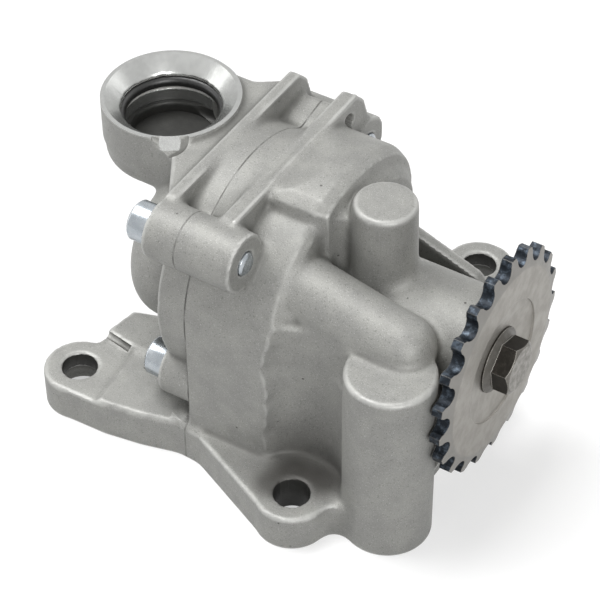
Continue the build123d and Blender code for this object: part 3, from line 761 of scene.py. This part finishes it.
@dataclass(frozen=True)
class Ripple:
    """Wave that the die's worn parting edge leaves along an upright corner.

    Attributes:
        corner: X and Y of the corner, in millimetres.
        low: Height at which the wave starts.
        high: Height at which it ends.
        swing: Half of the wave's width.
        reach: Distance from the corner at which it has died out.
        waves_mm: Length of each wave that is added up.
    """

    corner: tuple[float, float]
    low: float
    high: float
    swing: float = 0.5
    reach: float = 4.0
    waves_mm: tuple[float, ...] = (23.0, 11.0, 5.3)

    def press(self, mesh: bpy.types.Mesh) -> None:
        """Shift the mesh along the shaft by the wave.

        Args:
            mesh: The blank's mesh.
        """
        place = points_of(mesh) / MM
        away = np.hypot(place[:, 0] - self.corner[0], place[:, 1] - self.corner[1])
        fade = np.clip(1 - away / self.reach, 0, 1)
        ends = np.clip(np.minimum(place[:, 2] - self.low, self.high - place[:, 2]) / 3.0, 0, 1)
        wave = sum(np.sin(place[:, 2] / length * math.tau + number) / (number + 1)
                   for number, length in enumerate(self.waves_mm))
        place[:, 0] += self.swing * wave * fade * ends
        move_points(mesh, place * MM)


def linked(name: str, data: bpy.types.ID) -> bpy.types.Object:
    """Return a new object in the scene that shows the given data."""
    made = bpy.data.objects.new(name, data)
    bpy.context.scene.collection.objects.link(made)
    return made


def points_of(mesh: bpy.types.Mesh) -> np.ndarray:
    """Return the places of a mesh's points, one row each, in metres.

    Args:
        mesh: The mesh.
    """
    place = np.empty(len(mesh.vertices) * 3)
    mesh.vertices.foreach_get("co", place)
    return place.reshape(-1, 3)


def move_points(mesh: bpy.types.Mesh, place: np.ndarray) -> None:
    """Put a mesh's points at new places.

    Args:
        mesh: The mesh.
        place: One row per point, in metres.
    """
    mesh.vertices.foreach_set("co", place.ravel())
    mesh.update()


def as_object(name: str, shape: bmesh.types.BMesh) -> bpy.types.Object:
    """Turn a worked shape into an object of the scene.

    Args:
        name: Name of the object.
        shape: The shape, which is freed.

    Returns:
        The object.
    """
    mesh = bpy.data.meshes.new(name)
    shape.to_mesh(mesh)
    shape.free()
    return linked(name, mesh)


def settle(piece: bpy.types.Object) -> None:
    """Work a piece's modifiers into its mesh.

    Args:
        piece: The piece.
    """
    bpy.context.view_layer.update()
    done = bpy.data.meshes.new_from_object(piece.evaluated_get(bpy.context.evaluated_depsgraph_get()))
    piece.modifiers.clear()
    piece.data = done


def cut_away(piece: bpy.types.Object, cutters: Sequence[bpy.types.Object]) -> None:
    """Take solids away from a piece and out of the scene.

    Args:
        piece: The piece.
        cutters: The solids.
    """
    for cutter in cutters:
        cut = piece.modifiers.new("cut", "BOOLEAN")
        cut.operation, cut.solver, cut.object = "DIFFERENCE", "MANIFOLD", cutter
    settle(piece)
    for cutter in cutters:
        bpy.data.objects.remove(cutter)


@dataclass
class FoundryCasting:
    """A casting as the foundry makes it: a blank with flowing corners, then milled and drilled.

    Attributes:
        node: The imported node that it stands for.
        name: Name of the piece.
        faced: Milled faces.
        bores: Drilled and turned cuts.
        pads: Round lumps of metal added to the blank where forms run together.
        slopes: Places where the blank is pressed down to a slope or rippled.
        grain_mm: Step of the blank's mesh.
        fill_passes: Rounds of filling in the hollow corners.
        outer_share: How much of that rounding the outer corners get.
    """

    node: str
    name: str
    faced: tuple[Faced, ...]
    bores: tuple[Bore, ...]
    pads: tuple[Bore, ...] = ()
    slopes: tuple[Union[Slope, Ripple], ...] = ()
    grain_mm: float = 0.6
    fill_passes: int = 24
    outer_share: float = 0.035

    def build(self, nodes: dict[str, bpy.types.Object]) -> bpy.types.Object:
        """Cast, fettle and machine the piece.

        Args:
            nodes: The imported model's objects by node name.

        Returns:
            The finished casting, riding on the housing.
        """
        piece = self.blank(nodes[self.node])
        skin = piece.modifiers.new("skin", "REMESH")
        skin.mode = "VOXEL"
        skin.voxel_size = self.grain_mm * MM
        settle(piece)
        for slope in self.slopes:
            slope.press(piece.data)
        self.soften(piece.data)
        cut_away(piece, [cut.cutter() for cut in (*self.faced, *self.bores)])
        piece.data.set_sharp_from_angle(angle=math.radians(38))
        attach(piece, Body.HOUSING.value)
        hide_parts(self.node)
        LOG.info("%s: %d faces", self.name, len(piece.data.polygons))
        return piece

    def blank(self, source: bpy.types.Object) -> bpy.types.Object:
        """Return a copy of the solid with metal left on its milled faces.

        Args:
            source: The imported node.
        """
        shape = bmesh.new()
        shape.from_mesh(source.data)
        bmesh.ops.remove_doubles(shape, verts=shape.verts, dist=MERGE)
        for face in self.faced:
            axis, sign = face.side
            outward = Vector((0, 0, 0))
            outward[axis.value] = sign
            level = face.level() * MM
            flat = [f for f in shape.faces if f.normal.dot(outward) > 0.999
                    and abs(f.calc_center_median()[axis.value] - level) < ON_LEVEL
                    and all(l * MM - BOX_SLACK < c < h * MM + BOX_SLACK for l, c, h in
                            zip(face.low, f.calc_center_median(), face.high))]
            grown = bmesh.ops.extrude_face_region(shape, geom=flat)["geom"]
            moved = [g for g in grown if isinstance(g, bmesh.types.BMVert)]
            bmesh.ops.translate(shape, vec=outward * face.allowance * MM, verts=moved)
        for pad in self.pads:
            lump = pad.cutter()
            shape.from_mesh(lump.data)
            bpy.data.objects.remove(lump)
        return as_object(self.name, shape)

    def soften(self, mesh: bpy.types.Mesh) -> None:
        """Let the hollow corners fill up as a die's radii do, and take the edge off the outer ones.

        Args:
            mesh: The blank's mesh.
        """
        count = len(mesh.vertices)
        place = points_of(mesh)
        ends = np.empty(len(mesh.edges) * 2, dtype=np.int64)
        mesh.edges.foreach_get("vertices", ends)
        one, other = ends[0::2], ends[1::2]
        around = np.bincount(ends, minlength=count)[:, None]
        normal = np.empty(count * 3)
        for turn in range(self.fill_passes):
            pull = np.stack([np.bincount(one, place[other, k], count)
                             + np.bincount(other, place[one, k], count)
                             for k in range(3)], axis=1) / around - place
            mesh.vertex_normals.foreach_get("vector", normal)
            out = normal.reshape(-1, 3)
            lift = (pull * out).sum(axis=1)[:, None]
            slide = pull - lift * out
            step = np.where(lift > 0, lift, lift * (1.0 if turn < 2 else self.outer_share))
            place += 0.5 * (step * out + 0.5 * slide)
            move_points(mesh, place)


@dataclass
class Castings:
    """The two castings, dressed as blasted aluminium with their machined seats."""

    port: Point = (-29.5, 8.5, 0.0)
    outlet: Point = (53.3, -26.6, 0.0)
    lugs: tuple[Point, ...] = ((33.5, -38.2, 0.0), (33.5, 56.2, 0.0), (-35.0, -29.8, 0.0))
    shaft: Point = (0.0, 0.0, SHAFT_Z)

    def dress(self, nodes: dict[str, bpy.types.Object]) -> None:
        """Give both castings their finish.

        Args:
            nodes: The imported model's objects by node name.
        """
        holes = tuple(Zone(lug, Axis.UPRIGHT, 4.56, -1.0, 12.5) for lug in self.lugs)
        foot = Zone((0.0, 0.0, 0.0), Axis.UPRIGHT, 200.0, -1.0, 0.05)
        outlet = Zone(self.outlet, Axis.UPRIGHT, 6.56, -1.0, 48.0)
        nose = Zone(self.shaft, Axis.ALONG_SHAFT, 16.0, 61.95, 63.0)
        pocket = Zone(self.shaft, Axis.ALONG_SHAFT, 32.5, -1.0, 0.02)
        flare = Zone(self.port, Axis.UPRIGHT, 16.4, 70.2, 80.0)
        bore = Zone(self.port, Axis.UPRIGHT, 12.3, 62.58, 80.0)
        lip = Zone(self.port, Axis.UPRIGHT, 19.0, 73.95, 80.0)
        spot = Zone((-20.1, -6.0, 0.0), Axis.UPRIGHT, 2.6, 71.5, 74.5)
        inside = Zone(self.port, Axis.UPRIGHT, 12.3, 59.5, 62.58)
        back = Zone(self.shaft, Axis.ALONG_SHAFT, 80.0, -0.02, 1.0)
        # Painted shadows in the recess round the front lug, where the housing's wall shades it
        painted_shadows = (PaintedShadow((30.5, -30.0, 9.0), 15.0, 20.0, 0.5), PaintedShadow((27.6, -38.5, 9.0), 6.5, 7.0, 0.75),
                  PaintedShadow((30.0, -32.0, 9.0), 8.0, 9.0, 0.9), PaintedShadow((38.0, -30.5, 9.0), 9.0, 9.0, 0.9))
        # The lug holes and, in the cover, the suction port's floor get the painted bore shade
        housing = CastAluminium("shot_blasted_cast_aluminium_housing", painted_bore_shade=holes, painted_shadows=painted_shadows,
                                cuts=(foot, outlet, nose, pocket))
        cover = CastAluminium("shot_blasted_cast_aluminium_cover", skin="#90908C", painted_bore_shade=(inside,),
                              cuts=(flare, bore, lip, back, spot))
        skin = self.housing().build(nodes)
        put_on(skin, housing.build())
        lid = self.cover().build(nodes)
        put_on(lid, cover.build())

    def housing(self) -> FoundryCasting:
        """Return the pump housing with its milled faces and bores."""
        bolts = [Bore((-1.0, y, z), (15.2, y, z), 3.05) for y, z in LONG_BOLTS]
        dowels = [Bore((-1.0, y, z), (6.5, y, z), 2.5) for y, z in DOWELS]
        lugs = [Bore((x, y, -1.0), (x, y, 12.0), 4.5) for x, y, _ in self.lugs]
        sleeves = [Bore((x, y, -1.0), (x, y, 5.0), 6.0) for x, y, _ in self.lugs[1:]]
        steps = ((5.0, 9.05, 74.8, 0.0), (9.05, 10.9, 75.4, 0.0), (10.9, 18.0, 74.4, 2.1))
        crest = [Slope((low, -14.0, 72.0), (high, 27.0, 80.0), top, rise) for low, high, top, rise in steps]
        x, y, _ = self.outlet
        return FoundryCasting(
            "pump_housing", "pump_housing_casting",
            faced=(Faced((-6.0, -40.0, 10.85), (0.0, 45.0, 80.0), (Axis.ALONG_SHAFT, -1)),
                   Faced((-50.0, -60.0, -6.0), (80.0, 80.0, 0.0), (Axis.UPRIGHT, -1)),
                   Faced((62.0, -16.0, 24.0), (68.0, 16.0, 56.0), (Axis.ALONG_SHAFT, 1))),
            bores=(Bore((-1.0, 0.0, ARCH_Z), (16.0, 0.0, ARCH_Z), 27.04),
                   Bore((15.0, 0.0, SHAFT_Z), (70.0, 0.0, SHAFT_Z), 7.3),
                   Bore((38.0, 0.0, SHAFT_Z), (70.0, 0.0, SHAFT_Z), 8.54),
                   Bore((VALVE_X, -17.0, VALVE_Z), (VALVE_X, 40.0, VALVE_Z), 5.0),
                   Bore((VALVE_X, 21.5, VALVE_Z), (VALVE_X, 22.8, VALVE_Z), 5.9),
                   Bore((x, y, -1.0), (x, y, 47.0), 6.5),
                   Bore((x, y, -1.0), (x, y, 1.9), 9.6, core_radius=7.6),
                   Bore((5.0, 26.5, 69.0), (12.0, 26.5, 69.0), 2.4),
                   Bore((-36.8, -17.3, 10.9), (-27.0, -19.0, 10.9), 0.95),
                   Bore((-1.0, *SHORT_BOLT), (12.0, *SHORT_BOLT), 3.05),
                   *bolts, *dowels, *lugs, *sleeves),
            slopes=(*crest, Ripple((22.6, -31.5), 12.0, 56.0)),
            pads=(Bore((9.95, -24.4, 74.55), (9.95, 30.6, 74.55), 0.85),
                  Bore((39.8, -23.0, 36.0), (41.9, -23.4, 50.8), 3.6, 2.6),
                  Bore((22.6, -23.6, 46.0), (24.0, -22.4, 55.0), 4.0)),
        )

    def cover(self) -> FoundryCasting:
        """Return the rear cover with its milled faces and bores."""
        x, y, _ = self.port
        bolts = (*LONG_BOLTS, SHORT_BOLT)
        holes = [Bore((1.0, v, w), (-9.5, v, w), 3.3) for v, w in bolts]
        seats = [Bore((-9.2, v, w), (-24.0, v, w), 5.6) for v, w in bolts]
        dowels = [Bore((1.0, v, w), (-6.5, v, w), 2.5) for v, w in DOWELS]
        return FoundryCasting(
            "rear_cover", "rear_cover_casting",
            faced=(Faced((0.0, -45.0, 5.0), (6.0, 50.0, 80.0), (Axis.ALONG_SHAFT, 1)),
                   Faced((-60.0, -20.0, 74.0), (-10.0, 40.0, 80.0), (Axis.UPRIGHT, 1))),
            bores=(Bore((x, y, 62.5), (x, y, 80.0), 12.2),
                   Bore((x, y, 59.8), (x, y, 63.0), 10.8),
                   Bore((x, y, 70.4), (x, y, 74.01), 12.2, 16.3),
                   Bore((x, y, 66.4), (x, y, 69.6), 14.5),
                   Bore((-20.3, -5.5, 73.4), (-17.7, -9.5, 78.3), 4.5),
                   Bore((1.0, 0.0, SHAFT_Z), (-13.0, 0.0, SHAFT_Z), 8.54),
                   *holes, *seats, *dowels),
        )


def lathe(shape: bmesh.types.BMesh, profile: Sequence[tuple[float, float]], sides: int) -> None:
    """Turn a closed solid round the X axis.

    Args:
        shape: Shape that takes the solid.
        profile: Place along X and radius of each ring, in millimetres.
        sides: Points in a ring.
    """
    turns = [math.tau * side / sides for side in range(sides)]
    rings = [[shape.verts.new((along * MM, radius * math.cos(turn) * MM, radius * math.sin(turn) * MM))
              for turn in turns] for along, radius in profile]
    for one, other in zip(rings, rings[1:]):
        for side in range(sides):
            after = (side + 1) % sides
            shape.faces.new((one[side], one[after], other[after], other[side]))
    shape.faces.new(list(reversed(rings[0])))
    shape.faces.new(rings[-1])


@dataclass
class SocketScrews:
    """Zinc plated M6 cap screws with a plain head, a hexagon socket and a cut thread on the free end.

    Attributes:
        node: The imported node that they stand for.
        name: Name of the piece.
        places: Y and Z of each screw, in millimetres.
        tip: X of the free end, in millimetres.
    """

    node: str
    name: str
    places: tuple[tuple[float, float], ...]
    tip: float
    seat: float = -9.2
    head_r: float = 5.0
    head_h: float = 6.0
    shank_r: float = 2.97
    socket_af: float = 5.0
    socket_depth: float = 3.2
    pitch: float = 1.0
    thread_len: float = 7.0
    thread_depth: float = 0.5
    sides: int = 64

    def build(self, material: bpy.types.Material) -> bpy.types.Object:
        """Build the screws as one piece.

        Args:
            material: Their finish.

        Returns:
            The screws, riding on the housing.
        """
        shape = bmesh.new()
        for y, z in self.places:
            self.screw(shape, y, z)
        piece = as_object(self.name, shape)
        cut_away(piece, [self.sockets()])
        piece.data.set_sharp_from_angle(angle=math.radians(30))
        put_on(piece, material)
        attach(piece, Body.HOUSING.value)
        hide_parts(self.node)
        LOG.info("%s: %d screws", self.name, len(self.places))
        return piece

    def screw(self, shape: bmesh.types.BMesh, y: float, z: float) -> None:
        """Add one screw to the shape.

        Args:
            shape: Shape that takes the screw.
            y: Place of its axis, in millimetres.
            z: Height of its axis, in millimetres.
        """
        one = bmesh.new()
        end, r = self.seat - self.head_h, self.head_r
        thread = self.tip - self.thread_len
        head = [(end, r - 0.9), (end + 0.12, r - 0.55), (end + 0.7, r), (self.seat - 0.5, r),
                (self.seat, r - 0.25), (self.seat, self.shank_r), (thread - 0.4, self.shank_r)]
        rings = len(head)
        steps = 6
        for step in range(int((self.thread_len - 1.6) / self.pitch * steps)):
            head.append((thread + step * self.pitch / steps, self.shank_r))
        head += [(self.tip - 1.2, self.shank_r), (self.tip - 0.7, self.shank_r - 0.1),
                 (self.tip - 0.2, self.shank_r - 0.6), (self.tip, self.shank_r - 1.1)]
        sides = self.sides
        lathe(one, head, sides)
        one.verts.ensure_lookup_table()
        for number in range(rings, len(head) - 4):
            for side in range(sides):
                vert = one.verts[number * sides + side]
                phase = (vert.co.x / MM / self.pitch - side / sides) % 1.0
                fade = min(1.0, (number - rings) / steps, (len(head) - 5 - number) / steps)
                radius = self.shank_r - self.thread_depth * fade * (1 - abs(2 * phase - 1))
                scale = radius * MM / math.hypot(vert.co.y, vert.co.z)
                vert.co.y *= scale
                vert.co.z *= scale
        bmesh.ops.recalc_face_normals(one, faces=one.faces)
        bmesh.ops.translate(one, verts=one.verts, vec=(0.0, y * MM, z * MM))
        mesh = bpy.data.meshes.new("screw")
        one.to_mesh(mesh)
        one.free()
        shape.from_mesh(mesh)
        bpy.data.meshes.remove(mesh)

    def sockets(self) -> bpy.types.Object:
        """Return the hexagons that are pressed into the heads."""
        shape = bmesh.new()
        corner = self.socket_af / math.sqrt(3) * MM
        for y, z in self.places:
            made = bmesh.ops.create_cone(shape, cap_ends=True, segments=6, radius1=corner, radius2=corner,
                                         depth=2 * self.socket_depth * MM)
            place = Matrix.Translation(((self.seat - self.head_h) * MM, y * MM, z * MM))
            place = place @ Matrix.Rotation(math.pi / 2, 4, "Y")
            bmesh.ops.transform(shape, matrix=place, verts=made["verts"])
        return as_object("sockets", shape)


@dataclass
class DishedSprocket:
    """The chain sprocket with the floor of its recess dished up to a low step, as in the photograph."""

    shaft_z: float = SHAFT_Z
    floor_x: float = 66.9
    rim_x: float = 68.15
    rim_r: float = 15.9
    inner_r: float = 12.0

    def build(self, node: bpy.types.Object, material: bpy.types.Material) -> bpy.types.Object:
        """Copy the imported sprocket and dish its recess.

        Args:
            node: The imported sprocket.
            material: Its finish.

        Returns:
            The sprocket, turning with the drive.
        """
        shape = bmesh.new()
        shape.from_mesh(node.data)
        bmesh.ops.remove_doubles(shape, verts=shape.verts, dist=MERGE)
        for vert in shape.verts:
            y, z = vert.co.y, vert.co.z - self.shaft_z * MM
            away = math.hypot(y, z)
            if abs(vert.co.x - self.floor_x * MM) < ON_LEVEL and away > self.inner_r * MM:
                grow = self.rim_r * MM / away
                vert.co = Vector((self.rim_x * MM, y * grow, z * grow + self.shaft_z * MM))
        sprocket = as_object("chain_sprocket_dished", shape)
        sprocket.data.shade_smooth()
        sprocket.data.set_sharp_from_angle(angle=math.radians(9))
        put_on(sprocket, material)
        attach(sprocket, Body.DRIVE.value)
        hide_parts("drive_sprocket")
        return sprocket


@dataclass
class ReliefSpring:
    """Coil spring behind the relief piston, with closed end turns."""

    centre_x: float = VALVE_X
    centre_z: float = VALVE_Z
    coil_r: float = 2.75
    wire_r: float = 0.45
    turns: float = 9.0
    closed: float = 1.2
    turn_steps: int = 32
    travel: float = 5.0

    def build(self, material: bpy.types.Material) -> bpy.types.Object:
        """Wind the spring between the piston and the cap.

        Args:
            material: Its finish.

        Returns:
            The spring, riding on the housing.
        """
        low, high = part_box("relief_spring")
        start, length = low[1] / MM + self.wire_r, (high[1] - low[1]) / MM - 2 * self.wire_r
        curve = bpy.data.curves.new("relief_spring_coil", "CURVE")
        curve.dimensions = "3D"
        curve.bevel_depth = self.wire_r * MM
        curve.bevel_resolution = 3
        spline = curve.splines.new("POLY")
        count = int(self.turns * self.turn_steps)
        spline.points.add(count)
        closed = self.closed
        for number in range(count + 1):
            share = number / count
            turn = share * self.turns
            if turn < closed:
                along = turn * 2 * self.wire_r
            elif turn > self.turns - closed:
                along = length - (self.turns - turn) * 2 * self.wire_r
            else:
                first = closed * 2 * self.wire_r
                along = first + (turn - closed) / (self.turns - 2 * closed) * (length - 2 * first)
            angle = turn * math.tau
            spline.points[number].co = ((self.centre_x + self.coil_r * math.cos(angle)) * MM,
                                        (start + along) * MM,
                                        (self.centre_z + self.coil_r * math.sin(angle)) * MM, 1.0)
        coil = linked("relief_spring_coil", curve)
        bpy.context.view_layer.update()
        mesh = bpy.data.meshes.new_from_object(coil.evaluated_get(bpy.context.evaluated_depsgraph_get()))
        bpy.data.objects.remove(coil)
        spring = linked("relief_spring_wound", mesh)
        put_on(spring, material)
        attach(spring, Body.HOUSING.value)
        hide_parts("relief_spring")
        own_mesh(spring)
        return spring


@dataclass
class Hardware:
    """Shaft, rotors, sprocket, bolts, seals and the relief valve's pieces."""

    steel: PlatedSteel = PlatedSteel("ground_steel", "#A8A8A6", "#C9C9C7", roughness=0.25)
    rotor: PlatedSteel = PlatedSteel("sintered_steel", "#7D7B78", "#98958F", roughness=0.45)
    bronze: PlatedSteel = PlatedSteel("bearing_bronze", "#A07A45", "#C09A60", roughness=0.35)
    zinc: PlatedSteel = PlatedSteel("bright_zinc_plate", "#9DA3A8", "#C3C7CA", roughness=0.26, scratch_mm=3.0)
    spring: PlatedSteel = PlatedSteel("oiled_spring_steel", "#55565A", "#77787C", roughness=0.3)

    def dress(self, nodes: dict[str, bpy.types.Object]) -> None:
        """Give each piece of hardware its finish.

        Args:
            nodes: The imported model's objects by node name.
        """
        steel, rotor, zinc = self.steel.build(), self.rotor.build(), self.zinc.build()
        bronze, black, spring = self.bronze.build(), OiledBlackSteel().build(), self.spring.build()
        rubber = MouldedRubber().build()
        finishes = {
            "drive_shaft": steel, "rotor_drive_pin": steel, "relief_piston": steel, "relief_cap": steel,
            "cover_dowels": steel, "inner_rotor": rotor, "outer_rotor": rotor, "front_bearing_bush": bronze,
            "rear_bearing_bush": bronze, "cover_bolts": zinc, "short_cover_bolt": zinc, "sprocket_bolt": black,
            "relief_spring": spring, "relief_snap_ring": spring, "suction_port_o_ring": rubber,
            "outlet_port_seal": rubber, "relief_cap_o_ring": rubber,
        }
        for node, material in finishes.items():
            put_on(nodes[node], material)
        SocketScrews("cover_bolts", "cover_screws", LONG_BOLTS, 15.9).build(zinc)
        SocketScrews("short_cover_bolt", "short_cover_screw", (SHORT_BOLT,), 12.3).build(zinc)
        DishedSprocket().build(nodes["drive_sprocket"], HardenedSprocket().build())
        ReliefSpring().build(spring)


def put_on(piece: bpy.types.Object, material: bpy.types.Material) -> None:
    """Give a piece one material.

    Args:
        piece: The object.
        material: The material.
    """
    piece.data.materials.clear()
    piece.data.materials.append(material)


def main() -> None:
    """Load the frame, build the studio and dress the pump."""
    logging.basicConfig(level=logging.INFO, format="%(name)s: %(message)s")
    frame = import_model()
    bpy.context.scene.view_settings.view_transform = "Standard"
    nodes = frame["nodes"]
    Studio().build()
    Castings().dress(nodes)
    Hardware().dress(nodes)
    LOG.info("dressed %d nodes", len(nodes))


if __name__ == "__main__":
    main()
